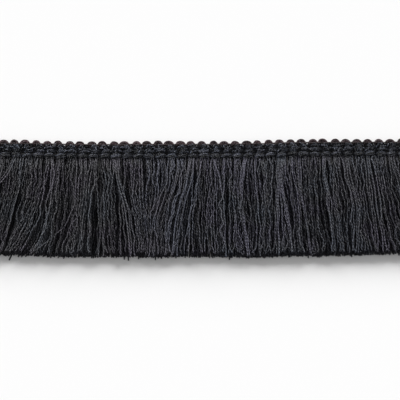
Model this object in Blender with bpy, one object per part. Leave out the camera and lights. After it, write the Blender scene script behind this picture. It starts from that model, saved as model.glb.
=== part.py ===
"""Brush fringe trim: a cut length of black crocheted heading with a skirt of cut yarns.

The trim lies flat on its back. X runs along the heading, the skirt falls
towards -Y, and Z is up from the surface. The origin is the middle of the
heading's flat back, where the trim is sewn or glued to cloth.
"""

import math
import random
from collections import namedtuple

import bmesh
import bpy

MM = 0.001

# Driving dimensions, in millimetres
COURSE_PITCH = 3.65
COURSE_COUNT = 41
HEADING_WIDTH = 4.7
LOOP_RISE = 1.1
HEADING_THICKNESS = 2.4
BACK_INSET = 0.45
COURSE_SLANT = 0.85
SKIRT_GAP = 0.3
STRIP_WIDTH = 0.5
STRIP_THICKNESS = 1.75
SKIRT_LENGTH = 31.8

HEADING_LOW_EDGE = -0.5 * (HEADING_WIDTH + LOOP_RISE)
TRIM_START = -0.5 * COURSE_PITCH * COURSE_COUNT

# Wide and narrow courses take turns, most of all once in each such length
PAIR_UNEVENNESS = 0.26
PAIR_PATCH_LENGTH = 62.0
PAIR_PATCH_PHASE = 2.6

# How far the heading strays sideways from a straight line as it lies
Rise = namedtuple("Rise", "station rise")
WANDER = (
    Rise(-75.0, 0.45),
    Rise(-60.0, 0.30),
    Rise(-40.0, -0.10),
    Rise(0.0, 0.00),
    Rise(16.0, 0.12),
    Rise(32.0, 0.62),
    Rise(75.0, 0.72),
)

# How the skirt is combed: how far sideways a lock runs for each millimetre of
# its length, where it leaves the heading and at its tip
Comb = namedtuple("Comb", "station upper lower")
COMBING = (
    Comb(-76.0, -0.20, -0.32),
    Comb(-62.0, -0.20, -0.34),
    Comb(-52.0, -0.10, -0.26),
    Comb(-40.0, -0.01, -0.04),
    Comb(-33.0, 0.00, 0.06),
    Comb(-25.0, 0.06, 0.10),
    Comb(-8.0, -0.07, -0.10),
    Comb(6.0, 0.02, 0.00),
    Comb(14.0, 0.02, 0.08),
    Comb(22.0, 0.06, 0.04),
    Comb(36.0, 0.02, 0.10),
    Comb(50.0, 0.12, 0.18),
    Comb(64.0, 0.20, 0.34),
    Comb(76.0, 0.20, 0.36),
)

# The heading's section from the skirt to the looped edge: the place as a share
# of the width, the height there as a share of the thickness, and how much of
# the thickness it sinks by between one knit stitch and the next
Spot = namedtuple("Spot", "share crown sink")
SECTION = (
    Spot(0.00, 0.46, 0.10),
    Spot(0.05, 0.80, 0.22),
    Spot(0.16, 1.00, 0.24),
    Spot(0.27, 0.84, 0.20),
    Spot(0.32, 0.66, 0.06),
    Spot(0.38, 0.84, 0.18),
    Spot(0.47, 0.96, 0.22),
    Spot(0.57, 0.82, 0.18),
    Spot(0.62, 0.66, 0.06),
    Spot(0.69, 0.86, 0.16),
    Spot(0.78, 0.88, 0.20),
    Spot(0.88, 0.72, 0.22),
    Spot(0.96, 0.60, 0.16),
    Spot(1.00, 0.36, 0.04),
)

# Where the heading's sections stand within one course
COURSE_PHASES = (0.0, 0.14, 0.37, 0.63, 0.86)

# The notch between two stitches leans to and fro across the rows
NOTCH_LEAN = 0.22
NOTCH_WAVES = 3.2
NOTCH_SHARPNESS = 3

# The skirt's two layers of locks, from the surface up: the height of a lock's
# underside at its root and beyond it, the lock's own height, how much longer
# it is than the skirt, and the shares of its length that its rings stand at
Layer = namedtuple("Layer", "locks_per_course root_low low belly height longer shares")
LAYERS = (
    Layer(3, 0.20, 0.00, 0.0, 1.12, -0.5, (0.0, 0.10, 0.55, 1.0)),
    Layer(4, 1.10, 1.22, 0.30, 1.20, 0.0, (0.0, 0.09, 0.36, 0.66, 1.0)),
)

# A lock's root, and how much one lock differs from the next
ROOT_DEPTH = 0.35
ROOT_HEIGHT = 0.75
LOCK_GAP = 0.12
BUNDLE_GAP = 0.34
WIDEST_LOCK = 1.5
TIP_HEIGHT_SHARE = 0.7
SWAY = 0.16
CREST_SWAY = 0.3
RIDGE_UNEVENNESS = 0.18
LENGTH_UNEVENNESS = 0.45
STRAY_SHARE = 0.05
STRAY_LENGTH = 0.9
BEND_WAVER = 0.06
BEND_WAVER_LENGTH = 17.0
SKIRT_SEED = 7


def smooth_row(table, station):
    """The table's other columns at this station, eased from row to row."""
    if station <= table[0].station:
        return table[0][1:]
    for low, high in zip(table, table[1:]):
        if station <= high.station:
            share = (station - low.station) / (high.station - low.station)
            eased = share * share * (3.0 - 2.0 * share)
            return tuple(a + (b - a) * eased for a, b in zip(low[1:], high[1:]))
    return table[-1][1:]


def wander(x):
    return smooth_row(WANDER, x)[0]


def course_edge(index):
    """Where a course starts along the trim."""
    even = TRIM_START + COURSE_PITCH * index
    if index in (0, COURSE_COUNT):
        return even
    turn = 2.0 * math.pi * even / PAIR_PATCH_LENGTH + PAIR_PATCH_PHASE
    patch = 0.5 + 0.5 * math.cos(turn)
    return even + PAIR_UNEVENNESS * patch * (-1) ** index


def loft(bm, rings):
    """A closed body through rings with the same number of points."""
    lines = [[bm.verts.new(point) for point in ring] for ring in rings]
    for one, other in zip(lines, lines[1:]):
        for i in range(len(one)):
            j = (i + 1) % len(one)
            bm.faces.new((one[i], one[j], other[j], other[i]))
    bm.faces.new(lines[0])
    bm.faces.new(lines[-1])


def object_from(bm, name, collection):
    bmesh.ops.recalc_face_normals(bm, faces=bm.faces)
    mesh = bpy.data.meshes.new(name)
    bm.to_mesh(mesh)
    bm.free()
    obj = bpy.data.objects.new(name, mesh)
    collection.objects.link(obj)
    return obj


def yarn_material(name, colour, roughness):
    material = bpy.data.materials.new(name)
    material.use_nodes = True
    shader = material.node_tree.nodes["Principled BSDF"]
    shader.inputs["Base Color"].default_value = (*colour, 1.0)
    shader.inputs["Roughness"].default_value = roughness
    shader.inputs["Metallic"].default_value = 0.0
    return material


def notch(share, phase):
    """0 on a stitch's back and 1 in the notch between two stitches."""
    lean = NOTCH_LEAN * math.sin(2.0 * math.pi * NOTCH_WAVES * share)
    return abs(math.cos(math.pi * (phase + lean))) ** NOTCH_SHARPNESS


def heading_section(index, phase):
    """One ring of the heading: its knitted face, then its flat back."""
    start, end = course_edge(index), course_edge(min(index + 1, COURSE_COUNT))
    along = start + (end - start) * phase
    dome = math.sqrt(1.0 - (2.0 * phase - 1.0) ** 2)
    reach = HEADING_WIDTH + LOOP_RISE * dome
    ring = []
    for spot in SECTION:
        slant = COURSE_SLANT * (0.5 - spot.share)
        height = HEADING_THICKNESS * (spot.crown - spot.sink * notch(spot.share, phase))
        ring.append((spot.share * reach, slant, height))
    ring.append((reach - BACK_INSET, ring[-1][1], 0.0))
    ring.append((BACK_INSET, ring[0][1], 0.0))
    end_ring = (index == 0 and phase == 0.0) or index == COURSE_COUNT
    points = []
    for across, slant, height in ring:
        x = along if end_ring else along + slant
        x = min(max(x, TRIM_START), -TRIM_START)
        y = HEADING_LOW_EDGE + across + wander(along)
        points.append((x * MM, y * MM, height * MM))
    return points


def build_heading(collection, material):
    """The crocheted band, with its knit stitches and edge loops raised."""
    spots = [(i, phase) for i in range(COURSE_COUNT) for phase in COURSE_PHASES]
    spots.append((COURSE_COUNT, 0.0))
    bm = bmesh.new()
    loft(bm, [heading_section(i, phase) for i, phase in spots])
    heading = object_from(bm, "heading", collection)
    heading.data.materials.append(material)
    heading.data.shade_smooth()
    heading.data.set_sharp_from_angle(angle=math.radians(60.0))


def strip_line(x):
    """Y of the strip's edge nearest the heading."""
    return HEADING_LOW_EDGE - SKIRT_GAP + wander(x)


def build_strip(collection):
    """The narrow line where the skirt's yarns leave the last row of stitches."""
    rings = []
    for index in range(COURSE_COUNT + 1):
        x = course_edge(index)
        back = strip_line(x)
        front = back - STRIP_WIDTH
        corners = (
            (front, 0.0),
            (back, 0.0),
            (back, STRIP_THICKNESS),
            (front, STRIP_THICKNESS),
        )
        rings.append([(x * MM, y * MM, z * MM) for y, z in corners])
    bm = bmesh.new()
    loft(bm, rings)
    return object_from(bm, "fringe", collection)


def lock_roots(locks_per_course):
    """Each lock's left and right side where it leaves the strip."""
    roots = []
    for index in range(COURSE_COUNT):
        start = course_edge(index) + 0.5 * BUNDLE_GAP
        end = course_edge(index + 1) - 0.5 * BUNDLE_GAP
        width = (end - start) / locks_per_course
        for i in range(locks_per_course):
            roots.append((start + i * width, start + (i + 1) * width))
    return roots


def combed(x, share):
    """Where the skirt rooted at x lies along the trim, at this share of its length."""
    upper, lower = smooth_row(COMBING, x)
    turned = share**3 - 0.5 * share**4
    return x + SKIRT_LENGTH * (upper * share + (lower - upper) * turned)


def lock_line(roots, sways, i, share):
    """Where lock i's middle lies along the trim. Locks past the ends follow on."""
    if i < 0:
        return 2.0 * lock_line(roots, sways, 0, share) - lock_line(roots, sways, 1, share)
    if i == len(roots):
        inner = lock_line(roots, sways, i - 2, share)
        return 2.0 * lock_line(roots, sways, i - 1, share) - inner
    middle = 0.5 * sum(roots[i])
    return combed(middle + sways[i] * share, share)


def lock_ring(layer, roots, sways, i, share, length, rng):
    """A lock's underside, left and right, and its crest, at one share of its length."""
    root_x = 0.5 * sum(roots[i])
    centre = lock_line(roots, sways, i, share)
    left = centre - lock_line(roots, sways, i - 1, share)
    right = lock_line(roots, sways, i + 1, share) - centre
    if share == 0.0:
        left = right = roots[i][1] - roots[i][0]
    half_left = 0.5 * min(left - LOCK_GAP, WIDEST_LOCK)
    half_right = 0.5 * min(right - LOCK_GAP, WIDEST_LOCK)
    run = math.sqrt((length * share) ** 2 - (centre - root_x) ** 2)
    y = strip_line(root_x) - STRIP_WIDTH - run
    if share == 0.0:
        y += ROOT_DEPTH
    settled = min(share / layer.shares[1], 1.0)
    belly = layer.belly * math.sin(math.pi * min(2.0 * share, 1.0))
    foot = layer.root_low + (layer.low - layer.root_low) * settled + belly
    height = ROOT_HEIGHT + (layer.height - ROOT_HEIGHT) * settled
    height -= rng.uniform(0.0, RIDGE_UNEVENNESS) * settled
    if share == 1.0:
        height *= TIP_HEIGHT_SHARE
    crest = centre + rng.uniform(-CREST_SWAY, CREST_SWAY) * min(half_left, half_right)
    return (
        ((centre - half_left) * MM, y * MM, foot * MM),
        ((centre + half_right) * MM, y * MM, foot * MM),
        (crest * MM, y * MM, (foot + height) * MM),
    )


def add_layer(bm, layer, rng):
    """Adds one layer's locks: three-sided ridges that share out the width."""
    roots = lock_roots(layer.locks_per_course)
    sways = [rng.uniform(-SWAY, SWAY) for _ in roots]
    for i, root in enumerate(roots):
        stray = STRAY_LENGTH if rng.random() < STRAY_SHARE else 0.0
        uneven = rng.uniform(-LENGTH_UNEVENNESS, LENGTH_UNEVENNESS)
        length = SKIRT_LENGTH + layer.longer + uneven + stray
        waver = BEND_WAVER * math.sin(2.0 * math.pi * root[0] / BEND_WAVER_LENGTH)
        rings = []
        for share in layer.shares:
            bends = layer.shares[1] < share < 1.0
            place = share + waver if bends else share
            rings.append(lock_ring(layer, roots, sways, i, place, length, rng))
        loft(bm, rings)


def build_fringe(collection, helpers, material):
    """The skirt: every lock fused at its root into the strip."""
    strip = build_strip(collection)
    strip.data.materials.append(material)
    rng = random.Random(SKIRT_SEED)
    bm = bmesh.new()
    for layer in LAYERS:
        add_layer(bm, layer, rng)
    locks = object_from(bm, "skirt_locks", helpers)
    locks.hide_render = True
    locks.display_type = "WIRE"
    fuse = strip.modifiers.new("fuse_locks", "BOOLEAN")
    fuse.operation = "UNION"
    fuse.solver = "EXACT"
    fuse.object = locks


def main():
    for obj in list(bpy.data.objects):
        bpy.data.objects.remove(obj)
    trim = bpy.data.collections.new("brush_fringe_trim")
    helpers = bpy.data.collections.new("helpers")
    for collection in (trim, helpers):
        bpy.context.scene.collection.children.link(collection)
    heading_yarn = yarn_material("heading_yarn", (0.020, 0.021, 0.025), 0.75)
    skirt_yarn = yarn_material("skirt_yarn", (0.028, 0.027, 0.030), 0.60)
    build_heading(trim, heading_yarn)
    build_fringe(trim, helpers, skirt_yarn)


main()
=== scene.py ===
# Black brush fringe trim: a crocheted heading with a looped edge and a skirt of cut yarns.
# It lies on its back on a pale table and is seen from almost straight above.
# Lengths below are in millimetres until a mesh is made.

import bpy
import math
import numpy as np
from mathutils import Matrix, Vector


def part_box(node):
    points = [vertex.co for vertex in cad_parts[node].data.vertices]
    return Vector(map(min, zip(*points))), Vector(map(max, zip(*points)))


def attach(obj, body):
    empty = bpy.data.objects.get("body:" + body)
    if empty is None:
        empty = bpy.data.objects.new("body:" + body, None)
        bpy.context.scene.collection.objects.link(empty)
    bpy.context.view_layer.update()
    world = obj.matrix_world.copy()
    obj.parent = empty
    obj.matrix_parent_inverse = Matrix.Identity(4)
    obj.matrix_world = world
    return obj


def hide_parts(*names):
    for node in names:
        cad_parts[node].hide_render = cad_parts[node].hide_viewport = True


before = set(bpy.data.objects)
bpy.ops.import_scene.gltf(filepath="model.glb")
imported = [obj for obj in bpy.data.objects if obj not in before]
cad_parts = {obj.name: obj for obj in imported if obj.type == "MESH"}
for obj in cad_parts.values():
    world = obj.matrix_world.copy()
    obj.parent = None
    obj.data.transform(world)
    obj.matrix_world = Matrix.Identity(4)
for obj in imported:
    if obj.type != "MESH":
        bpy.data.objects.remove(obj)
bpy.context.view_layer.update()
mm = 0.001
justAboveTable = 0.004
headingLow, headingHigh = (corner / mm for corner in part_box("heading"))

# where the courses of the heading stand
layout = {
    "coursePitch": 3.65,
    "courseSlant": 0.75,       # how far a course leans to the right from its loop down to the skirt
    "slantTop": 1.8,           # where across the heading it begins
    "loopSlant": 0.5,          # the loops lean by this share of it
    "pairUnevenness": 0.20,    # every other loop stands this far to one side
    "patchLength": 62.0,       # most of all once in each such length
    "patchPhase": 2.6,
    "loopJitter": 0.16,
    "endInset": 0.1,           # how far inside its cut ends the heading's yarns stop
}
trimStart = headingLow.x
courseCount = round((headingHigh.x - headingLow.x) / layout["coursePitch"])

# how far the heading strays from a straight line: station along the trim, rise
wanderTable = [
    (-75.0, 0.45), (-60.0, 0.30), (-40.0, -0.10), (0.0, 0.00), (16.0, 0.12), (32.0, 0.62), (75.0, 0.72),
]


def wander(x):
    stations, rises = zip(*wanderTable)
    return np.interp(x, stations, rises)


def slantAt(y):
    return layout["courseSlant"] * (layout["slantTop"] - y) / (layout["slantTop"] - headingLow.y)


def makeCourses():
    rng = np.random.default_rng(3)
    courses = []
    for i in range(courseCount):
        left = trimStart + layout["coursePitch"] * i
        patch = 0.5 + 0.5 * math.cos(2 * math.pi * left / layout["patchLength"] + layout["patchPhase"])
        shift = layout["pairUnevenness"] * patch * (-1) ** i
        shift += rng.uniform(-1, 1) * layout["loopJitter"]
        courses.append({"left": left, "shift": shift})
    return courses


def unit(vectors):
    return vectors / np.maximum(np.linalg.norm(vectors, axis=-1, keepdims=True), 1e-9)


# the rings of tubes along many paths at once, and how far along its yarn each ring stands:
# paths is (yarns, rings, 3), and lobes swell the plies
def tubeRings(paths, radii, sides, look, lobes):
    count, rings = paths.shape[:2]
    ahead = unit(np.gradient(paths, axis=1))
    side = unit(np.cross(ahead[:, 0], np.array([0.0, 0.0, 1.0])) + np.array([1e-6, 0.0, 0.0]))
    sideways = []
    for ring in range(rings):
        along = ahead[:, ring]
        side = unit(side - along * np.sum(side * along, axis=1, keepdims=True))
        sideways.append(side)
    sideways = np.stack(sideways, axis=1)
    over = np.cross(ahead, sideways)

    # each yarn begins somewhere else in its twist
    begins = np.random.default_rng(count).uniform(0, 40, (count, 1))
    steps = np.linalg.norm(np.diff(paths, axis=1), axis=2)
    travelled = begins + np.concatenate([np.zeros((count, 1)), np.cumsum(steps, axis=1)], axis=1)
    angle = 2 * math.pi * np.arange(sides) / sides
    turn = angle[None, None, :] + 2 * math.pi * travelled[:, :, None] / look["layLength"]
    lobes = np.broadcast_to(lobes, (count,))[:, None, None]
    spread = np.broadcast_to(radii, (count, rings))[:, :, None] * (1 + lobes * np.sin(look["plies"] * turn))
    points = (paths[:, :, None, :]
              + (spread * np.cos(angle))[..., None] * sideways[:, :, None, :]
              + (spread * np.sin(angle))[..., None] * over[:, :, None, :])
    points[..., 2] = np.maximum(points[..., 2], justAboveTable)
    return points, travelled


# u runs round the yarn and v along it, in millimetres
def yarnCorners(travelled, sides):
    count, rings = travelled.shape
    shape = (count, rings - 1, sides)
    around = np.arange(sides + 1) / sides
    u = np.broadcast_to(around[:-1], shape)
    uNext = np.broadcast_to(around[1:], shape)
    v = np.broadcast_to(travelled[:, :-1, None], shape)
    vNext = np.broadcast_to(travelled[:, 1:, None], shape)
    corners = np.stack([u, v, uNext, v, uNext, vNext, u, vNext], axis=-1).ravel()
    endCorners = np.zeros((2 * count, sides, 2))
    endCorners[count:, :, 1] = travelled[:, -1, None]
    return np.concatenate([corners, endCorners.ravel()])


def yarnMesh(name, paths, radii, sides, finish, node, lotsAndPaintedLight, lobes=0.0):
    material, look = finish
    count, rings = paths.shape[:2]
    points, travelled = tubeRings(paths, radii, sides, look, lobes)
    index = np.arange(count * rings * sides).reshape(count, rings, sides)
    following = np.roll(index, -1, axis=2)
    quads = np.stack([index[:, :-1], following[:, :-1], following[:, 1:], index[:, 1:]], axis=-1)
    quads = quads.reshape(-1, 4)
    ends = np.concatenate([index[:, 0, ::-1], index[:, -1]])
    mesh = bpy.data.meshes.new(name)
    mesh.from_pydata((points.reshape(-1, 3) * mm).tolist(), [], quads.tolist() + ends.tolist())

    layer = mesh.uv_layers.new(name="yarn")
    layer.data.foreach_set("uv", yarnCorners(travelled, sides))
    smooth = np.ones(len(quads) + len(ends), dtype=bool)
    smooth[len(quads):] = False
    mesh.polygons.foreach_set("use_smooth", smooth)
    # each yarn's colour value: its lot, and in many pieces painted shade and painted highlight as well
    lotAndPaintedLight = mesh.attributes.new("lotAndPaintedLight", "FLOAT", "POINT")
    lotAndPaintedLight.data.foreach_set("value", np.repeat(lotsAndPaintedLight, rings * sides).astype(np.float32))
    mesh.materials.append(material)
    mesh.update()

    piece = bpy.data.objects.new(name, mesh)
    bpy.context.scene.collection.objects.link(piece)
    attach(piece, "root")
    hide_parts(node)
    print(f"made {name}: {count} yarns, {len(quads) * 2} triangles")


# a piece of the heading, cut off straight at the trim's ends
def headingMesh(name, paths, settings, finish, lotsAndPaintedLight, lobes=0.0):
    paths = np.array(paths)
    end = -trimStart - layout["endInset"]
    paths[..., 0] = np.clip(paths[..., 0], -end, end)
    lotsAndPaintedLight = np.clip(lotsAndPaintedLight, 0, 1)
    radius, sides = settings["radius"], settings["sides"]
    yarnMesh(name, paths, radius, sides, finish, "heading", lotsAndPaintedLight, lobes)


# a spun yarn's finish: ply twist and fibres as bump, each yarn a little lighter or darker, and the ply
# pattern painted into the colour too, painted shade in the grooves between the plies and painted highlight
# on their crowns
def yarnMaterial(name, look):
    material = bpy.data.materials.new(name)
    material.use_nodes = True
    tree = material.node_tree
    shader = tree.nodes["Principled BSDF"]
    shader.inputs["Roughness"].default_value = look["roughness"]
    shader.inputs["Specular IOR Level"].default_value = look["specular"]
    shader.inputs["Sheen Weight"].default_value = look["sheen"]
    shader.inputs["Sheen Roughness"].default_value = look["sheenRoughness"]
    shader.inputs["Sheen Tint"].default_value = (*look["sheenTint"], 1)

    def node(kind, **settings):
        made = tree.nodes.new(kind)
        for key, value in settings.items():
            setattr(made, key, value)
        return made

    # a source is a node with the name or number of its output
    def join(source, target, inputName):
        tree.links.new(source[0].outputs[source[1]], target.inputs[inputName])

    def calculate(operation, *values):
        made = node("ShaderNodeMath", operation=operation)
        for i, value in enumerate(values):
            if isinstance(value, tuple):
                join(value, made, i)
            else:
                made.inputs[i].default_value = value
        return made, 0

    def separate(source):
        made = node("ShaderNodeSeparateXYZ")
        join(source, made, "Vector")
        return made

    def noise(scale, detail, roughness):
        made = node("ShaderNodeTexNoise")
        made.inputs["Scale"].default_value = scale
        made.inputs["Detail"].default_value = detail
        made.inputs["Roughness"].default_value = roughness
        join(place, made, "Vector")
        return made, "Fac"

    def ramp(source, stops):
        made = node("ShaderNodeValToRGB")
        elements = made.color_ramp.elements
        elements.remove(elements[1])
        elements[0].position = stops[0][0]
        elements[0].color = (*stops[0][1], 1)
        for position, colour in stops[1:]:
            elements.new(position).color = (*colour, 1)
        join(source, made, "Fac")
        return made, "Color"

    def multiply(one, other):
        made = node("ShaderNodeMix", data_type="RGBA", blend_type="MULTIPLY")
        made.inputs[0].default_value = 1.0
        join(one, made, 6)       # inputs 6 and 7 and output 2 are the mix's colours
        join(other, made, 7)
        return made, 2

    split = separate((node("ShaderNodeUVMap", uv_map="yarn"), "UV"))
    turns = calculate("MULTIPLY", (split, "X"), look["plies"])
    lay = calculate("MULTIPLY", (split, "Y"), look["plies"] / look["layLength"])
    turned = calculate("MULTIPLY", calculate("ADD", turns, lay), 2 * math.pi)
    ply = calculate("MULTIPLY_ADD", calculate("SINE", turned), 0.5, 0.5)

    place = (node("ShaderNodeTexCoord"), "Object")
    fibres = noise(look["fibreScale"], 4, 0.65)
    specks = noise(look["speckScale"], 2, 0.6)
    bump = node("ShaderNodeBump")
    bump.inputs["Strength"].default_value = look["bump"]
    bump.inputs["Distance"].default_value = look["bumpDepth"] * mm
    join(calculate("MULTIPLY_ADD", fibres, look["fibreShare"], ply), bump, "Height")
    join((bump, "Normal"), shader, "Normal")

    lotAndPaintedLight = (node("ShaderNodeAttribute", attribute_name="lotAndPaintedLight"), "Fac")
    # the ply pattern is painted into the colour as well: painted shade in the grooves between the plies and
    # painted highlight on their crowns
    mixed = calculate("MULTIPLY_ADD", ply, look["paintedPlyShade"], lotAndPaintedLight)
    mixed = calculate("MULTIPLY_ADD", fibres, look["fibreShade"], mixed)
    mixed = calculate("MULTIPLY_ADD", specks, look["speckShade"], mixed)
    centre = 0.5 * (look["paintedPlyShade"] + look["fibreShade"] + look["speckShade"])
    shades = [(0.0, look["darkest"]), (0.5, look["usual"]), (1.0, look["lightest"])]
    shade = ramp(calculate("SUBTRACT", mixed, centre), shades)

    # dye and light dust differ a little from place to place, and along the trim the colour is also painted
    # darker towards the right end, painted shade where the light falls off there
    casts = [(0.40, look["blueCast"]), (0.51, look["plainCast"]), (0.62, look["plumCast"])]
    cast = ramp(noise(look["patchScale"], 1, 0.5), casts)
    start = look["dyeAndPaintedShade"][0][0]
    length = look["dyeAndPaintedShade"][-1][0] - start
    station = calculate("MULTIPLY_ADD", (separate(place), "X"), 1 / (length * mm), -start / length)
    dyeAndPaintedShade = ramp(station, [((where - start) / length, colour) for where, colour in look["dyeAndPaintedShade"]])
    join(multiply(multiply(shade, cast), dyeAndPaintedShade), shader, "Base Color")
    return material


headingLook = {
    "darkest": (0.0022, 0.0026, 0.0040),
    "usual": (0.0138, 0.0155, 0.0223),
    "lightest": (0.130, 0.141, 0.181),
    "blueCast": (0.96, 1.00, 1.03),
    "plainCast": (1.01, 1.00, 1.00),
    "plumCast": (1.01, 0.99, 1.03),
    "patchScale": 90.0,
    # the colour along the trim, painted darker towards the right end, painted shade where the light falls
    # off there: station, colour
    "dyeAndPaintedShade": [
        (-64.0, (1.0, 1.0, 1.0)), (22.0, (1.0, 1.0, 1.0)), (36.0, (0.86, 0.86, 0.86)),
        (64.0, (0.74, 0.74, 0.74)),
    ],
    "roughness": 0.44,
    "specular": 0.37,
    "sheen": 0.05,
    "sheenRoughness": 0.45,
    "sheenTint": (0.80, 0.86, 1.0),
    "plies": 2,
    "layLength": 1.2,
    "paintedPlyShade": 0.45,
    "fibreShade": 0.5,
    "fibreScale": 5200.0,
    "fibreShare": 0.9,
    "speckScale": 2100.0,
    "speckShade": 2.4,
    "bump": 1.0,
    "bumpDepth": 0.10,
}
skirtLook = {
    **headingLook,
    "darkest": (0.0028, 0.0028, 0.0055),
    "usual": (0.0076, 0.0076, 0.0115),
    "lightest": (0.085, 0.086, 0.106),
    "blueCast": (0.93, 1.02, 1.04),
    "plainCast": (1.02, 1.01, 0.95),
    "plumCast": (1.06, 0.96, 1.06),
    # along the trim the skirt's colour shifts in hue with the dye, and is painted darker towards the right
    # end, painted shade where the light falls off there: station, colour
    "dyeAndPaintedShade": [
        (-64.0, (0.98, 0.97, 0.92)), (-28.0, (0.96, 0.95, 0.91)), (-18.0, (1.05, 1.00, 1.06)),
        (-6.0, (1.04, 1.01, 1.07)), (6.0, (0.98, 1.04, 1.08)), (26.0, (0.95, 1.01, 1.05)),
        (38.0, (0.83, 0.87, 0.89)), (48.0, (0.81, 0.81, 0.83)), (64.0, (0.72, 0.73, 0.76)),
    ],
    "roughness": 0.47,
    "specular": 0.24,
    "sheenTint": (0.90, 0.88, 1.0),
    "layLength": 2.2,
    "paintedPlyShade": 1.15,
    "speckScale": 1850.0,
    "speckShade": 2.5,
}
loopLook = {
    **headingLook,
    "darkest": (0.0040, 0.0018, 0.0022),
    "usual": (0.0230, 0.0130, 0.0145),
    "lightest": (0.112, 0.074, 0.082),
    "specular": 0.18,
    "sheenTint": (1.0, 0.80, 0.80),
}
headingYarn = (yarnMaterial("headingYarn", headingLook), headingLook)
loopYarn = (yarnMaterial("loopYarn", loopLook), loopLook)
skirtYarn = (yarnMaterial("skirtYarn", skirtLook), skirtLook)
courses = makeCourses()
print("materials and courses laid out")

# three rows of crochet: each stitch is a leaf of strands that slants up to the right
stitchRows = {
    # drop is how much lower the outer strands lie, and the last key paints each strand this much lighter
    # than the one below it: painted light on the upper strands and painted shade on the lower ones, and
    # where it is negative painted shade on the upper strands
    "rows": [
        {"piece": "lowerStitchRow", "middle": -2.26, "shift": 0.00, "strands": 6, "spacing": 0.255,
         "climb": 0.50, "crown": 2.22, "drop": 0.05, "shade": 0.23, "paintedTopLight": 0.09},
        {"piece": "middleStitchRow", "middle": -0.72, "shift": 0.13, "strands": 4, "spacing": 0.29,
         "climb": 0.60, "crown": 1.98, "drop": 0.12, "shade": 0.46, "paintedTopLight": 0.00},
        {"piece": "upperStitchRow", "middle": 0.74, "shift": 0.08, "strands": 4, "spacing": 0.29,
         "climb": 0.45, "crown": 1.98, "drop": 0.12, "shade": 0.40, "paintedTopLight": -0.06},
    ],
    "start": 0.20,            # share of a course where a stitch comes up
    "length": 0.95,           # share of a course that it spans
    "lengthSpread": (0.90, 1.06),
    "climbSpread": (0.5, 1.5),
    "crownSpread": (-0.22, 0.10),
    "topSpread": 0.10,
    "nudge": (0.16, 0.128),   # how far a whole stitch strays, along and across
    "sunk": 0.90,
    "tight": 0.45,            # how closely its strands bunch at its ends
    "lean": 0.10,             # how far each strand stands to the left of the one below it
    "radius": 0.135,
    "lobes": 0.26,
    "rings": 17,
    "sides": 5,
    "straying": 0.08,
    "unevenness": 0.60,       # how much lighter or darker a strand is
    # the second leg of a stitch, under its right half, painted dark: painted shade under the leaf
    "leg": {"strands": 3, "start": 0.08, "length": 0.98, "below": 0.68, "spacing": 0.26, "climb": 0.20,
            "foot": 0.85, "rise": 0.50, "shades": (0.0, 0.30)},
}


def makeStitchRow(row, rng):
    s = stitchRows
    leg = s["leg"]
    t = np.linspace(0, 1, s["rings"])
    eased = t * t * (3 - 2 * t)
    arch = np.sin(math.pi * np.clip(t * 1.02, 0, 1)) ** 0.62
    fan = s["tight"] + (1 - s["tight"]) * np.sin(math.pi * t) ** 0.8
    pitch = layout["coursePitch"]
    paths = []
    lotsAndPaintedLight = []
    for course in courses:
        nudge = rng.uniform(-1, 1, 2) * s["nudge"]
        climb = row["climb"] * rng.uniform(*s["climbSpread"])
        crown = row["crown"] + rng.uniform(*s["crownSpread"])
        length = s["length"] * rng.uniform(*s["lengthSpread"])
        start = s["start"] + row["shift"]
        for strand in range(row["strands"]):
            place = strand - 0.5 * (row["strands"] - 1)
            x = course["left"] + (start + length * t) * pitch + nudge[0] - s["lean"] * place
            drift = rng.normal(0, s["straying"], 2)
            y = row["middle"] + climb * (eased - 0.5) + place * row["spacing"] * fan + nudge[1]
            y = y + drift[0] + drift[1] * np.sin(2 * math.pi * t) + wander(x)
            top = crown - row["drop"] * place ** 2 + rng.uniform(-s["topSpread"], s["topSpread"])
            z = s["sunk"] + (top - s["sunk"]) * arch
            paths.append(np.stack([x, y, z], axis=-1))
            # each strand's colour: its row's shade, painted light and shade by its place in the stitch, and
            # random unevenness
            lotsAndPaintedLight.append(row["shade"] + row["paintedTopLight"] * place + s["unevenness"] * rng.uniform(-1, 1))
        for strand in range(leg["strands"]):
            x = course["left"] + (start + leg["start"] + leg["length"] * t) * pitch
            y = row["middle"] - leg["below"] + leg["spacing"] * strand + leg["climb"] * t
            y = y + nudge[1] + wander(x)
            z = leg["foot"] + leg["rise"] * np.sin(math.pi * t) ** 0.7
            paths.append(np.stack([x, y, z], axis=-1))
            # the leg's dark colour is painted shade
            lotsAndPaintedLight.append(rng.uniform(*leg["shades"]))
    headingMesh(row["piece"], paths, s, headingYarn, lotsAndPaintedLight, s["lobes"])


def makeStitchRows():
    rng = np.random.default_rng(11)
    for row in stitchRows["rows"]:
        makeStitchRow(row, rng)


makeStitchRows()

# the weft turns round beyond the top row, as a low dome of nested strands for each course
edgeLoops = {
    "nested": 5,
    "layers": 3,
    "halfWidth": 1.62,
    "widthSpread": (0.86, 1.10),
    "nestedStep": 0.27,
    "nestedDrop": 0.297,
    "foot": 0.60,
    "top": 2.73,
    "liftSpread": (-0.14, 0.12),
    "straying": (0.06, 0.05, 0.06),   # of a strand: in half width, height across and level
    # the outer arcs are painted lighter, a painted highlight on the domes' tops, and the inner arcs darker,
    # painted shade inside the domes
    "shades": [0.74, 0.78, 0.48, 0.14, 0.06],
    "shadeSpread": (0.4, 1.6),
    "roundness": 2.3,
    "lowest": 0.42,
    "layerStep": 0.36,
    "arch": 0.22,             # how much higher a loop lies at its top than at its feet
    "closeness": 0.14,        # and how much the layers draw together there
    "radius": 0.15,
    "lobes": 0.26,
    "rings": 13,
    "sides": 5,
}


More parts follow.
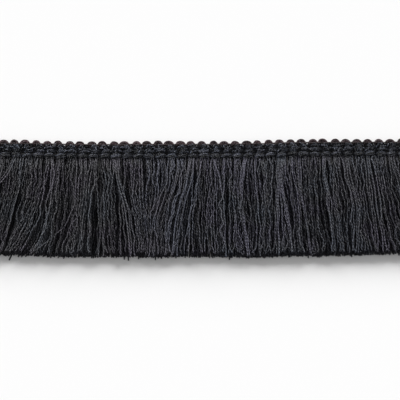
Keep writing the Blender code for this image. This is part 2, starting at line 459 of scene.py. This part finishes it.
def makeEdgeLoops():
    e = edgeLoops
    rng = np.random.default_rng(21)
    turn = np.linspace(0, math.pi, e["rings"])
    power = 2 / e["roundness"]
    paths = []
    lotsAndPaintedLight = []
    for course in courses:
        centre = course["left"] + 0.5 * layout["coursePitch"] + course["shift"]
        lift = rng.uniform(*e["liftSpread"])
        width = e["halfWidth"] * rng.uniform(*e["widthSpread"])
        for layer in range(e["layers"]):
            for nest in range(e["nested"]):
                straying = rng.uniform(-1, 1, 3) * e["straying"]
                half = width - e["nestedStep"] * nest + straying[0]
                height = e["top"] - e["foot"] - e["nestedDrop"] * nest + lift + straying[1]
                across = -np.sign(np.cos(turn)) * np.abs(np.cos(turn)) ** power * half
                y = e["foot"] + np.abs(np.sin(turn)) ** power * height
                x = centre + across + slantAt(y) * layout["loopSlant"]
                z = e["lowest"] + e["layerStep"] * layer + e["arch"] * np.sin(turn) + straying[2]
                z = z - e["closeness"] * (layer - 1) * np.sin(turn)
                paths.append(np.stack([x, y + wander(x), z], axis=-1))
                # painted highlight on the outer arcs and painted shade on the inner ones, times a random
                # spread
                lotsAndPaintedLight.append(e["shades"][nest] * rng.uniform(*e["shadeSpread"]))
    headingMesh("edgeLoops", paths, e, loopYarn, lotsAndPaintedLight, e["lobes"])


makeEdgeLoops()

# dark strands run from loop to loop at their feet
loopBridges = {
    # place across the heading, height
    "rows": [(1.84, 0.75), (1.70, 1.20), (1.56, 1.58), (1.40, 1.90)],
    "length": 3.9,
    "sag": 0.05,
    "arch": 0.10,
    "endDip": 0.3,
    "straying": 0.08,
    "shades": (0.0, 0.25),
    "radius": 0.16,
    "rings": 9,
    "sides": 6,
}


def makeLoopBridges():
    b = loopBridges
    rng = np.random.default_rng(25)
    t = np.linspace(0, 1, b["rings"])
    paths = []
    for course in courses[1:]:
        for height, level in b["rows"]:
            straying = rng.uniform(-b["straying"], b["straying"], 2)
            middle = course["left"] + slantAt(height) * layout["loopSlant"] + straying[0]
            x = middle + (t - 0.5) * b["length"]
            y = height - b["sag"] * np.sin(math.pi * t) + straying[1] + wander(x)
            z = level + b["arch"] * np.sin(math.pi * t) - b["endDip"] * (2 * t - 1) ** 4
            paths.append(np.stack([x, y, z], axis=-1))
    lotsAndPaintedLight = rng.uniform(*b["shades"], len(paths))
    headingMesh("loopBridges", paths, b, loopYarn, lotsAndPaintedLight)


makeLoopBridges()

# over the two upper rows each stitch closes in a small ring round a dark eye
stitchRings = {
    # share of a course to the right, height
    "places": [(0.62, 0.84), (0.64, -0.82), (0.72, 0.03)],
    "loopShare": 0.7,         # how far the rings follow the loops above them to one side
    "slantShare": 0.6,
    "straying": 0.11,
    "strands": 2,
    "halfWidth": 0.56,
    "widthSpread": (0.80, 1.15),
    "halfHeight": 0.40,
    "nestedStep": 0.19,
    "nestedDrop": 0.10,
    "open": 0.40,             # where the ring dips back into the cloth, in radians each side
    "tilt": 0.4,
    "foot": 1.30,
    "crown": 2.16,
    "crownSpread": (-0.20, 0.06),
    "shades": (0.28, 0.74),
    "unevenness": 0.25,
    "radius": 0.12,
    "lobes": 0.26,
    "rings": 15,
    "sides": 5,
}


def makeStitchRings():
    s = stitchRings
    rng = np.random.default_rng(23)
    turn = np.linspace(-math.pi + s["open"], math.pi - s["open"], s["rings"])
    dip = np.cos(0.5 * math.pi * turn / (math.pi - s["open"]))
    paths = []
    lotsAndPaintedLight = []
    for course in courses:
        for share, height in s["places"]:
            straying = rng.normal(0, s["straying"], 2)
            centre = course["left"] + share * layout["coursePitch"] + s["loopShare"] * course["shift"]
            centre = centre + s["slantShare"] * slantAt(height) + straying[0]
            tilt = rng.normal(0, s["tilt"])
            wide = rng.uniform(*s["widthSpread"])
            crown = s["crown"] + rng.uniform(*s["crownSpread"])
            shade = rng.uniform(*s["shades"])
            for strand in range(s["strands"]):
                halfWidth = (s["halfWidth"] - s["nestedStep"] * strand) * wide
                halfHeight = s["halfHeight"] - s["nestedStep"] * strand
                across = halfWidth * np.sin(turn)
                along = halfHeight * np.cos(turn)
                x = centre + across * math.cos(tilt) + along * math.sin(tilt)
                y = height + straying[1] + along * math.cos(tilt) - across * math.sin(tilt) + wander(x)
                z = s["foot"] + (crown - s["nestedDrop"] * strand - s["foot"]) * np.maximum(dip, 0) ** 0.4
                paths.append(np.stack([x, y, z], axis=-1))
                lotsAndPaintedLight.append(shade + s["unevenness"] * rng.uniform(-1, 1))
    headingMesh("stitchRings", paths, s, headingYarn, lotsAndPaintedLight, s["lobes"])


makeStitchRings()

# short strands that cross over the two upper rows, mostly along them
crossStrands = {
    "inCourse": 7,
    "lowest": -1.1,
    "highest": 1.2,
    "length": (0.7, 1.5),
    "heading": (0.2, 0.7),    # which way they run in radians, and how much that differs
    "foot": 1.30,
    "crown": (1.95, 2.30),
    "shades": [0.0, 0.25, 0.75, 1.0],
    "radius": 0.11,
    "lobes": 0.26,
    "rings": 11,
    "sides": 6,
}


def makeCrossStrands():
    c = crossStrands
    rng = np.random.default_rng(27)
    t = np.linspace(0, 1, c["rings"])
    paths = []
    for course in courses:
        for i in range(c["inCourse"]):
            heading = rng.normal(*c["heading"])
            length = rng.uniform(*c["length"])
            middleX = course["left"] + (i + rng.uniform(0.1, 0.9)) / c["inCourse"] * layout["coursePitch"]
            middleY = rng.uniform(c["lowest"], c["highest"]) - 0.2 * length * math.sin(heading)
            x = middleX + (t - 0.5) * length * math.cos(heading)
            y = middleY + (t - 0.5) * length * math.sin(heading) + wander(x)
            z = c["foot"] + (rng.uniform(*c["crown"]) - c["foot"]) * np.sin(math.pi * t) ** 0.7
            paths.append(np.stack([x, y, z], axis=-1))
    lotsAndPaintedLight = rng.choice(c["shades"], len(paths))
    headingMesh("crossStrands", paths, c, headingYarn, lotsAndPaintedLight, c["lobes"])


makeCrossStrands()

# the weft yarns that run under the stitches, from the loops to the skirt, painted dark: painted shade under
# the stitches
weftGround = {
    "across": 9,
    "levels": [0.42, 0.80, 1.12],
    "bundleWidth": 3.15,
    "top": 1.5,
    "bottom": -2.9,
    "straying": 0.05,
    "shades": (0.0, 0.25),
    "radius": 0.19,
    "rings": 5,
    "sides": 5,
}


def makeWeftGround():
    w = weftGround
    rng = np.random.default_rng(31)
    y = np.linspace(w["top"], w["bottom"], w["rings"])
    paths = []
    for course in courses:
        for level in w["levels"]:
            for i in range(w["across"]):
                straying = rng.uniform(-w["straying"], w["straying"], 2)
                offset = w["bundleWidth"] * ((i + 0.5) / w["across"] - 0.5) + straying[0]
                x = course["left"] + 0.5 * layout["coursePitch"] + offset + slantAt(y)
                z = level + straying[1] + 0 * y
                paths.append(np.stack([x, y + wander(x), z], axis=-1))
    lotsAndPaintedLight = rng.uniform(*w["shades"], len(paths))
    headingMesh("weftGround", paths, w, headingYarn, lotsAndPaintedLight)


makeWeftGround()

# on the back, each row shows as a run of short flat stitches
backStitches = {
    "level": 0.2,
    "zigzag": 0.28,
    "legSpacing": 0.42,
    "start": 0.02,            # shares of a course
    "length": 1.02,
    "endRise": 0.25,
    "straying": 0.04,
    "shades": (0.2, 0.8),
    "radius": 0.185,
    "rings": 9,
    "sides": 6,
}


def makeBackStitches():
    b = backStitches
    rng = np.random.default_rng(41)
    t = np.linspace(0, 1, b["rings"])
    paths = []
    for row in stitchRows["rows"]:
        for course in courses:
            for leg in (-0.5, 0.5):
                x = course["left"] + (b["start"] + b["length"] * t) * layout["coursePitch"] + row["shift"]
                y = row["middle"] + leg * b["legSpacing"] + b["zigzag"] * (t - 0.5)
                y = y + rng.uniform(-b["straying"], b["straying"])
                z = b["level"] + b["endRise"] * (np.abs(2 * t - 1) ** 3)
                paths.append(np.stack([x, y + wander(x), z], axis=-1))
    lotsAndPaintedLight = rng.uniform(*b["shades"], len(paths))
    headingMesh("backStitches", paths, b, headingYarn, lotsAndPaintedLight)


makeBackStitches()

# how the skirt is combed: station at the heading, then how far to the right a yarn has
# run after a quarter, half, three quarters and all of its length
combing = [
    (-75.0, -0.9, -2.6, -4.9, -7.4),
    (-62.2, -0.7, -2.0, -4.3, -6.6),
    (-60.3, -1.6, -3.6, -5.6, -8.2),
    (-58.6, -0.2, -1.0, -3.1, -4.9),
    (-55.0, -0.6, -2.1, -4.9, -9.0),
    (-51.7, -1.0, -2.3, -3.5, -8.6),
    (-50.1, -0.8, -1.3, -2.4, -6.4),
    (-46.8, -0.5, -0.7, -1.6, -3.8),
    (-43.5, -0.2, 0.4, 0.2, -1.4),
    (-39.9, -0.2, -0.7, -1.4, -3.1),
    (-36.3, -0.7, -1.6, -2.3, -3.3),
    (-32.0, 0.0, 0.0, 0.5, 0.8),
    (-29.0, 0.2, 0.2, 0.0, -0.3),
    (-26.4, 0.3, 0.9, 1.4, 1.6),
    (-23.4, 0.5, 1.5, 2.6, 3.2),
    (-20.8, 0.0, 0.4, 1.9, 2.7),
    (-17.2, 0.0, 0.0, 0.0, 0.3),
    (-14.2, 0.0, -0.6, -1.3, -1.4),
    (-10.6, -0.4, -1.8, -2.6, -3.0),
    (-8.0, -0.4, -2.4, -3.3, -3.6),
    (-3.7, -0.5, -2.6, -4.5, -5.2),
    (-1.7, -0.3, -1.0, -1.3, -1.6),
    (0.6, 0.0, 0.0, 0.0, 0.3),
    (7.5, 0.2, 0.2, 0.0, 0.0),
    (10.1, 0.0, 0.5, 1.0, 0.7),
    (14.1, -1.1, -1.6, -0.7, -0.3),
    (17.0, 0.0, 0.6, 1.3, 1.6),
    (20.7, 0.6, 1.6, 1.4, 1.0),
    (24.9, 0.2, 0.0, 1.0, 1.6),
    (27.2, -0.3, 0.6, 1.6, 1.4),
    (32.2, 0.3, 0.5, 1.3, 2.3),
    (36.1, 0.0, 0.6, 1.0, 1.6),
    (39.4, 0.3, 1.6, 2.6, 3.0),
    (43.7, 0.0, 0.4, 1.3, 2.6),
    (47.3, 1.0, 3.2, 4.0, 4.4),
    (50.3, 0.6, 1.6, 2.6, 4.0),
    (53.9, 0.3, 2.0, 3.6, 5.2),
    (56.8, 1.0, 2.9, 4.6, 6.6),
    (63.4, 1.3, 3.9, 6.6, 9.0),
    (75.0, 1.3, 3.9, 6.6, 9.0),
]

# where the cut edge lies: station, how far below the heading's line
cutLine = [
    (-75.0, -35.25), (-60.0, -35.65), (-50.0, -36.05), (-38.0, -36.15), (-26.0, -36.05), (-12.0, -36.1),
    (5.0, -36.1), (15.0, -36.35), (22.0, -36.15), (28.0, -35.65), (38.0, -35.9), (46.0, -35.6),
    (60.0, -35.25), (75.0, -35.05),
]

# the pile's upper side: distance below the root, height
pileTop = [
    (0.0, 1.53), (0.6, 1.66), (1.4, 1.81), (3.0, 2.05), (6.0, 2.31), (14.0, 2.55), (20.0, 2.57),
    (26.0, 2.48), (32.0, 2.35), (34.0, 2.33),
]

skirt = {
    "rootLine": -2.85,
    "locksInCourse": 3,
    "bundleShare": 0.72,      # how much of a course its yarns fill at the root
    "opensOver": 0.36,        # share of the length over which the gaps close
    "opensTo": 1.02,          # how much of a course they fill from there on
    "layerOffset": 0.25,      # layers stand this share of a yarn's place to either side in turn
    "rootJitter": (0.12, 0.26),   # how unevenly yarns leave the stitches: all, and the loose besides
    "lockGathering": 0.4,     # a lock's yarns keep this share of their own way through the combing
    "combReach": 5.0,         # the lower yarns even the combing out over this length each way
    "rootLean": 0.3,          # how much a yarn leans already where it leaves the stitches
    # courses, locks and yarns each sway, by this far and in so many waves along their length
    "courseWander": 0.28,
    "courseCycles": (0.4, 1.0),
    "lowerFollow": 0.4,       # the lowest yarns take this share of a course's sway
    "lockWander": 0.50,
    "lockCycles": (0.4, 1.3),
    "yarnWander": 0.42,
    "yarnCycles": (1.0, 4.6),
    "yarnLean": 1.15,
    "tipFlick": 0.45,
    "flickShare": 0.14,       # the share of the length that flicks at the tip
    "room": (0.45, 1.45),     # how much room each yarn takes up beside its neighbours
    "lockTone": 0.10,         # how much lighter or darker a whole lock is
    "paintedHighlightShare": 0.07,      # yarns painted lighter, a painted highlight where they catch the light
    "paintedHighlightGain": 0.40,       # and how much lighter they are painted
    "rootSwell": 0.08,        # the upper yarns are this much thicker where they leave the stitches
    "swellShare": 0.22,
    "rootFlat": 0.40,         # and lie this much closer to the face
    "flatShare": 0.25,
    "unevenShare": 0.10,      # heights begin to differ over this share of the length
    "tipCurl": 0.16,
    "curlStart": 0.55,
    "curlSpread": 1.6,
    "curlCycles": (4.0, 8.0),
    "tipLevel": 0.75,         # how much less the heights differ at the tips
    "levelShare": 0.20,
    "crimp": 0.115,
    "undercut": 1.05,         # how much shorter the upper yarns are cut than the lowest
    "lockHeight": 0.16,
    "lockRises": (0.5, 1.6),
    "yarnHeight": 0.14,
    "yarnRises": (1.2, 4.5),
    "heightJitter": 0.06,
    "above": 0.25,            # the most that a yarn stands above the pile
    "lengthJitter": 0.20,
    "longShare": 0.03,        # yarns that the cut left long
    "longBy": (0.3, 1.0),
    "stoutness": (0.86, 0.08, 0.12),  # thickness: the least, what room adds and what chance adds
    "plySpread": (0.2, 1.3),
}

# layers from the cloth up: share is of the pile's height, gap is how far apart yarns keep, and spread is
# the shade's; the lower layers get a darker shade, painted shade deep in the pile, and the upper ones a
# lighter one
layerColumns = [
    "piece", "inCourse", "share", "radius", "rings", "sides", "loose", "gap", "shade", "spread", "lobes",
]
skirtLayers = [
    ("skirtUnder", 8, 0.00, 0.215, 9, 4, 0.10, 0.00, 0.04, 0.04, 0.00),
    ("skirtUnder", 8, 0.19, 0.215, 9, 4, 0.10, 0.00, 0.05, 0.04, 0.00),
    ("skirtUnder", 8, 0.37, 0.215, 9, 4, 0.20, 0.00, 0.06, 0.05, 0.00),
    ("skirtMiddle", 6, 0.54, 0.205, 23, 5, 0.50, 0.00, 0.06, 0.08, 0.10),
    ("skirtMiddle", 6, 0.69, 0.200, 23, 5, 0.75, 0.00, 0.12, 0.14, 0.15),
    ("skirtTop", 4, 0.84, 0.160, 65, 6, 1.00, 0.60, 0.24, 0.25, 0.50),
    ("skirtFace", 4, 1.00, 0.172, 93, 6, 1.00, 0.74, 0.62, 0.31, 0.55),
]


# the combing table, eased between its stations and along each yarn
def combed(roots, shares):
    table = np.array(combing)
    knots = [np.zeros_like(roots)] + [np.interp(roots, table[:, 0], table[:, c]) for c in range(1, 5)]
    knots = np.stack(knots, axis=1)
    before = np.concatenate([-knots[:, 1:2] * skirt["rootLean"], knots[:, :-1]], axis=1)
    after = np.concatenate([knots[:, 1:], 2 * knots[:, 4:5] - knots[:, 3:4]], axis=1)
    slopes = 0.5 * (after - before)
    part = np.clip((shares * 4).astype(int), 0, 3)
    t = shares * 4 - part
    h00, h10 = 2 * t ** 3 - 3 * t ** 2 + 1, t ** 3 - 2 * t ** 2 + t
    h01, h11 = -2 * t ** 3 + 3 * t ** 2, t ** 3 - t ** 2
    leaving = h00 * knots[:, part] + h10 * slopes[:, part]
    return leaving + h01 * knots[:, part + 1] + h11 * slopes[:, part + 1]


# how a number grows from 0 to 1 between two shares of the length
def ramped(shares, start, end):
    return np.clip((shares - start) / (end - start), 0, 1)


# a sway that is nothing at the root
def swing(cycles, phase, shares):
    return np.sin(2 * math.pi * (cycles * shares + phase)) - np.sin(2 * math.pi * phase)


# a random sway for each of count yarns, slow to fast cycles along its length
def wave(rng, count, shares, slow, fast):
    total = np.zeros((count, len(shares)))
    for _ in range(2):
        cycles = rng.uniform(slow, fast, (count, 1))
        phase = rng.uniform(0, 1, (count, 1))
        total += swing(cycles, phase, shares)
    return 0.6 * total


def smoothed(x, times):
    for _ in range(times):
        x[..., 1:-1] = 0.25 * x[..., :-2] + 0.5 * x[..., 1:-1] + 0.25 * x[..., 2:]
    return x


# yarns that lie side by side push each other apart, and where two cross they do so over a short run
crowding = {
    "pushes": 14,
    "pushShare": 0.3,         # each of two neighbours gives way by this share of what they lack
    "smoothings": 5,
}


def keepApart(x, room, gap):
    for _ in range(crowding["pushes"]):
        order = np.argsort(x, axis=0)
        ranked = np.take_along_axis(x, order, axis=0)
        wanted = 0.5 * gap * (room[order][:-1] + room[order][1:])
        push = crowding["pushShare"] * np.maximum(wanted - np.diff(ranked, axis=0), 0)
        ranked[:-1] -= push
        ranked[1:] += push
        np.put_along_axis(x, order, ranked, axis=0)
    return smoothed(x, crowding["smoothings"])


# where a layer's yarns leave the heading, and the course and lock that each belongs to
def rootYarns(layer, level, rng):
    s = skirt
    pitch = layout["coursePitch"]
    course = np.repeat(np.arange(courseCount), layer["inCourse"])
    number = np.tile(np.arange(layer["inCourse"]), courseCount)
    jitter = rng.uniform(-1, 1, len(course)) * (s["rootJitter"][0] + s["rootJitter"][1] * layer["loose"])
    place = number + 0.5 + s["layerOffset"] * (-1) ** level + jitter
    offset = (place / layer["inCourse"] - 0.5) * pitch
    lefts = np.array([each["left"] for each in courses])
    bundle = lefts[course] + 0.5 * pitch + slantAt(s["rootLine"])
    locks = s["locksInCourse"]
    third = np.clip(((offset / pitch + 0.5) * locks).astype(int), 0, locks - 1)
    return {
        "course": course, "bundle": bundle, "offset": offset,
        "lock": course * locks + third,
        "lockRoot": bundle + (third - 0.5 * (locks - 1)) * pitch / locks,
    }


# where the yarns run along the trim: courses, locks and yarns each wander by themselves, over the
# common combing
def combYarns(layer, yarns, shares, courseWave, rng):
    s = skirt
    loose = layer["loose"]
    count = len(yarns["course"])
    tight = 1 - (1 - s["bundleShare"]) * min(1, 0.3 + loose)
    opened = ramped(shares, 0, s["opensOver"])
    opened = tight + (s["opensTo"] - tight) * opened * opened * (3 - 2 * opened)
    x = yarns["bundle"][:, None] + yarns["offset"][:, None] * opened

    root = yarns["bundle"] + yarns["offset"]
    sharp = combed(yarns["lockRoot"] + s["lockGathering"] * (root - yarns["lockRoot"]), shares)
    calm = sum(combed(root + shift, shares) for shift in (-s["combReach"], 0, s["combReach"])) / 3
    x = x + calm + (sharp - calm) * loose
    follow = s["lowerFollow"] + (1 - s["lowerFollow"]) * loose
    x = x + s["courseWander"] * follow * swing(*courseWave, shares)[yarns["course"]]
    lockWave = wave(rng, courseCount * s["locksInCourse"], shares, *s["lockCycles"])
    x = x + s["lockWander"] * loose * lockWave[yarns["lock"]]
    x = x + s["yarnWander"] * loose * wave(rng, count, shares, *s["yarnCycles"])
    x = x + s["yarnLean"] * loose * rng.normal(0, 1, (count, 1)) * shares ** 1.3
    flick = ramped(shares, 1 - s["flickShare"], 1) ** 1.5
    x = x + s["tipFlick"] * loose * rng.normal(0, 1, (count, 1)) * flick
    room = rng.uniform(*s["room"], count)
    if layer["gap"]:
        x = keepApart(x, room, layer["gap"] * (tight + (1 - tight) * opened))
    x = x + s["crimp"] * loose * wave(rng, count, shares, *layer["crimpCycles"])
    curling = loose * ramped(shares, s["curlStart"], 1) * rng.uniform(0, s["curlSpread"], (count, 1))
    x = x + s["tipCurl"] * curling * wave(rng, count, shares, *s["curlCycles"])
    return x, room, curling


# how far across the trim they reach
def cutYarns(layer, x, shares, rng):
    s = skirt
    count = len(x)
    cut = np.interp(x[:, -1], *np.array(cutLine).T)
    tips = cut + s["lengthJitter"] * rng.normal(0, 1, count) + s["undercut"] * layer["share"] ** 1.5
    tips = tips - (rng.random(count) < s["longShare"]) * rng.uniform(*s["longBy"], count)
    rootY = s["rootLine"] + wander(x[:, 0])
    return rootY[:, None] + (tips - rootY)[:, None] * shares, rootY


# how high they lie
def liftYarns(layer, yarns, shares, below, curling, rng):
    s = skirt
    loose = layer["loose"]
    count = len(below)
    top = np.interp(below, *np.array(pileTop).T)
    lowest = layer["radius"] + 0.01
    flat = s["rootFlat"] * loose * (1 - ramped(shares, 0, s["flatShare"]))
    z = lowest + (top - layer["radius"] - lowest) * (layer["share"] + (1 - layer["share"]) * flat)
    swell = ramped(shares, 0, s["unevenShare"])
    swell = swell * (1 - s["tipLevel"] * ramped(shares, 1 - s["levelShare"], 1))
    lockWave = wave(rng, courseCount * s["locksInCourse"], shares, *s["lockRises"])
    z = z + s["lockHeight"] * loose * swell * lockWave[yarns["lock"]]
    z = z + s["yarnHeight"] * loose * swell * wave(rng, count, shares, *s["yarnRises"])
    z = z + s["crimp"] * loose * swell * wave(rng, count, shares, *layer["crimpCycles"])
    z = z + s["tipCurl"] * curling * swell * wave(rng, count, shares, *s["curlCycles"])
    z = z + s["heightJitter"] * loose * swell * rng.normal(0, 1, (count, 1))
    return np.clip(z, lowest, top + s["above"] * (0.3 + 0.7 * swell))


def makeSkirt():
    s = skirt
    rng = np.random.default_rng(51)
    courseWave = rng.uniform(*s["courseCycles"], (courseCount, 1)), rng.uniform(0, 1, (courseCount, 1))
    toneOfLock = rng.normal(0, 1, courseCount * s["locksInCourse"])
    pieces = {}
    for level, row in enumerate(skirtLayers):
        layer = dict(zip(layerColumns, row))
        finest = min(20, layer["rings"] / 4.5)    # the quickest wave that its rings can show
        layer["crimpCycles"] = 0.4 * finest, finest
        shares = np.linspace(0, 1, layer["rings"])
        yarns = rootYarns(layer, level, rng)
        count = len(yarns["course"])
        x, room, curling = combYarns(layer, yarns, shares, courseWave, rng)
        y, rootY = cutYarns(layer, x, shares, rng)
        z = liftYarns(layer, yarns, shares, rootY[:, None] - y, curling, rng)

        thick = 1 + s["rootSwell"] * layer["loose"] * (1 - ramped(shares, 0, s["swellShare"])) ** 1.5
        least, roomy, chance = s["stoutness"]
        stoutness = least + roomy * room[:, None] + chance * rng.uniform(-1, 1, (count, 1))
        # a few yarns are painted lighter, a painted highlight along them
        paintedHighlight = s["paintedHighlightGain"] * (rng.random(count) < s["paintedHighlightShare"])
        # each layer's shade paints its depth in the pile: painted shade on the lower layers, with random
        # tone besides
        lotsAndPaintedLight = rng.normal(layer["shade"], layer["spread"], count) + paintedHighlight
        lotsAndPaintedLight = np.clip(lotsAndPaintedLight + s["lockTone"] * toneOfLock[yarns["lock"]], 0, 1)
        lobes = layer["lobes"] * rng.uniform(*s["plySpread"], count)
        parts = pieces.setdefault(layer["piece"], [layer["sides"], [], [], [], []])
        values = np.stack([x, y, z], axis=-1), layer["radius"] * stoutness * thick, lotsAndPaintedLight, lobes
        for part, value in zip(parts[1:], values):
            part.append(value)
    for piece, (sides, *parts) in pieces.items():
        paths, radii, lotsAndPaintedLight, lobes = (np.concatenate(part) for part in parts)
        yarnMesh(piece, paths, radii, sides, skirtYarn, "fringe", lotsAndPaintedLight, lobes)


makeSkirt()

# yarns that cross over the rest
strayYarns = {
    # root, sideways after each quarter of the length, how many
    "yarns": [
        (-61.6, -4.3, -11.0, -17.0, -21.0, 2),
        (-28.0, 0.4, 3.4, 4.8, 5.2, 3),
        (-29.6, -0.2, -2.4, -3.0, -3.3, 2),
        (-10.6, -0.3, -3.4, -5.0, -5.5, 2),
        (-8.0, -0.3, -3.3, -3.6, -3.6, 2),
        (-3.7, -0.8, -3.6, -5.2, -5.8, 3),
        (3.9, 2.2, 3.0, 3.4, 3.6, 1),
        (14.4, -1.6, -1.9, -0.3, 0.6, 3),
        (27.2, -1.5, -1.9, -1.6, -1.2, 2),
        (25.0, 0.1, 0.1, -0.1, 0.3, 2),
        (25.6, 0.3, 1.8, 3.4, 4.2, 3),
        (47.3, 1.0, 4.0, 4.2, 3.9, 3),
        (-41.2, -0.1, -0.2, -3.9, -14.5, 1),
        (54.2, 0.8, 2.2, 3.4, 4.2, 3),
        (32.2, 0.2, 0.8, 2.0, 3.4, 2),
        (40.1, 0.2, 2.0, 2.4, 2.8, 2),
        (17.4, 0.0, 1.0, 1.6, 1.4, 1),
        (63.0, 1.6, 4.6, 7.6, 10.2, 2),
    ],
    "height": 0.26,           # how far they ride above the pile near their roots
    "risesOver": 0.15,        # share of the length
    "spacing": 0.70,
    "jitter": 0.3,
    "spread": 1.0,            # how far apart yarns of one row end
    "smoothings": 60,
    "wander": 0.22,
    "cycles": (1.0, 5.0),
    "longer": (-0.5, 0.3),
    # the stray yarns are painted lighter than the pile beneath, a painted highlight along them
    "shades": (0.45, 1.00),
    "plySpread": (0.0, 0.34),
    "radius": 0.17,
    "rings": 97,
    "sides": 6,
}


def makeStrayYarns():
    s = strayYarns
    rng = np.random.default_rng(61)
    shares = np.linspace(0, 1, s["rings"])
    rootLine = skirt["rootLine"]
    paths = []
    for root, *sideways, count in s["yarns"]:
        for i in range(count):
            start = root + s["spacing"] * (i - 0.5 * (count - 1) + rng.uniform(-s["jitter"], s["jitter"]))
            spread = rng.uniform(-s["spread"], s["spread"])
            x = start + np.interp(shares, [0, 0.25, 0.5, 0.75, 1], [0, *sideways]) + spread * shares
            x = smoothed(x, s["smoothings"]) + s["wander"] * wave(rng, 1, shares, *s["cycles"])[0]
            length = -np.interp(x[-1], *np.array(cutLine).T) + rootLine + rng.uniform(*s["longer"])
            y = rootLine + wander(start) - length * shares
            top = np.interp(rootLine - y, *np.array(pileTop).T)
            z = top + s["height"] * ramped(shares, 0, s["risesOver"]) * (1 - shares) - s["radius"]
            paths.append(np.stack([x, y, z], axis=-1))
    paths = np.array(paths)
    lotsAndPaintedLight = rng.uniform(*s["shades"], len(paths))
    lobes = rng.uniform(*s["plySpread"], len(paths))
    yarnMesh("strayYarns", paths, s["radius"], s["sides"], skirtYarn, "fringe", lotsAndPaintedLight, lobes)


makeStrayYarns()

# table, light and camera
setting = {
    "tableSize": 6.0,         # metres, like the camera's distance
    "tableColour": (0.897, 0.897, 0.897),
    "tableRoughness": 0.9,
    "daylight": 10.15,
    "daylightSpread": 20.0,
    "daylightElevation": 13.4,
    # two wide windows behind the trim: how far to the right of straight behind, share of the light
    "windows": [("leftWindow", -54.0, 0.56), ("rightWindow", 48.0, 0.44)],
    "sky": 0.35,
    "cameraElevation": 78.0,
    "cameraDistance": 0.9,
    "cameraSensor": 36.0,
    "cameraClip": 0.05,
    "viewWidth": 131.6,
    "lookAt": (-0.7, -17.15, 1.2),
}


def makeTable():
    bpy.ops.mesh.primitive_plane_add(size=setting["tableSize"])
    table = bpy.context.object
    table.name = "table"
    paint = bpy.data.materials.new("tablePaint")
    paint.use_nodes = True
    shader = paint.node_tree.nodes["Principled BSDF"]
    shader.inputs["Base Color"].default_value = (*setting["tableColour"], 1)
    shader.inputs["Roughness"].default_value = setting["tableRoughness"]
    shader.inputs["Specular IOR Level"].default_value = 0.0
    table.data.materials.append(paint)


def makeLight():
    up = math.radians(setting["daylightElevation"])
    for name, degreesAround, share in setting["windows"]:
        lamp = bpy.data.lights.new(name, "SUN")
        lamp.energy = setting["daylight"] * share
        lamp.angle = math.radians(setting["daylightSpread"])
        window = bpy.data.objects.new(name, lamp)
        bpy.context.scene.collection.objects.link(window)
        around = math.radians(degreesAround)
        source = Vector((math.sin(around) * math.cos(up), math.cos(around) * math.cos(up), math.sin(up)))
        window.rotation_mode = "QUATERNION"
        window.rotation_quaternion = source.to_track_quat("Z", "Y")

    world = bpy.data.worlds.new("room")
    world.use_nodes = True
    background = world.node_tree.nodes["Background"]
    background.inputs["Color"].default_value = (1, 1, 1, 1)
    background.inputs["Strength"].default_value = setting["sky"]
    bpy.context.scene.world = world


def makeCamera():
    camera = bpy.data.cameras.new("camera")
    camera.sensor_width = setting["cameraSensor"]
    camera.lens = camera.sensor_width * setting["cameraDistance"] / (setting["viewWidth"] * mm)
    camera.clip_start = setting["cameraClip"]
    viewer = bpy.data.objects.new("camera", camera)
    bpy.context.scene.collection.objects.link(viewer)
    tilt = math.radians(setting["cameraElevation"])
    away = Vector((0, -math.cos(tilt), math.sin(tilt)))
    viewer.location = Vector(setting["lookAt"]) * mm + away * setting["cameraDistance"]
    viewer.rotation_mode = "QUATERNION"
    viewer.rotation_quaternion = away.to_track_quat("Z", "Y")
    bpy.context.scene.camera = viewer
    bpy.context.scene.view_settings.view_transform = "Standard"


makeTable()
makeLight()
makeCamera()
print("table, light and camera placed")
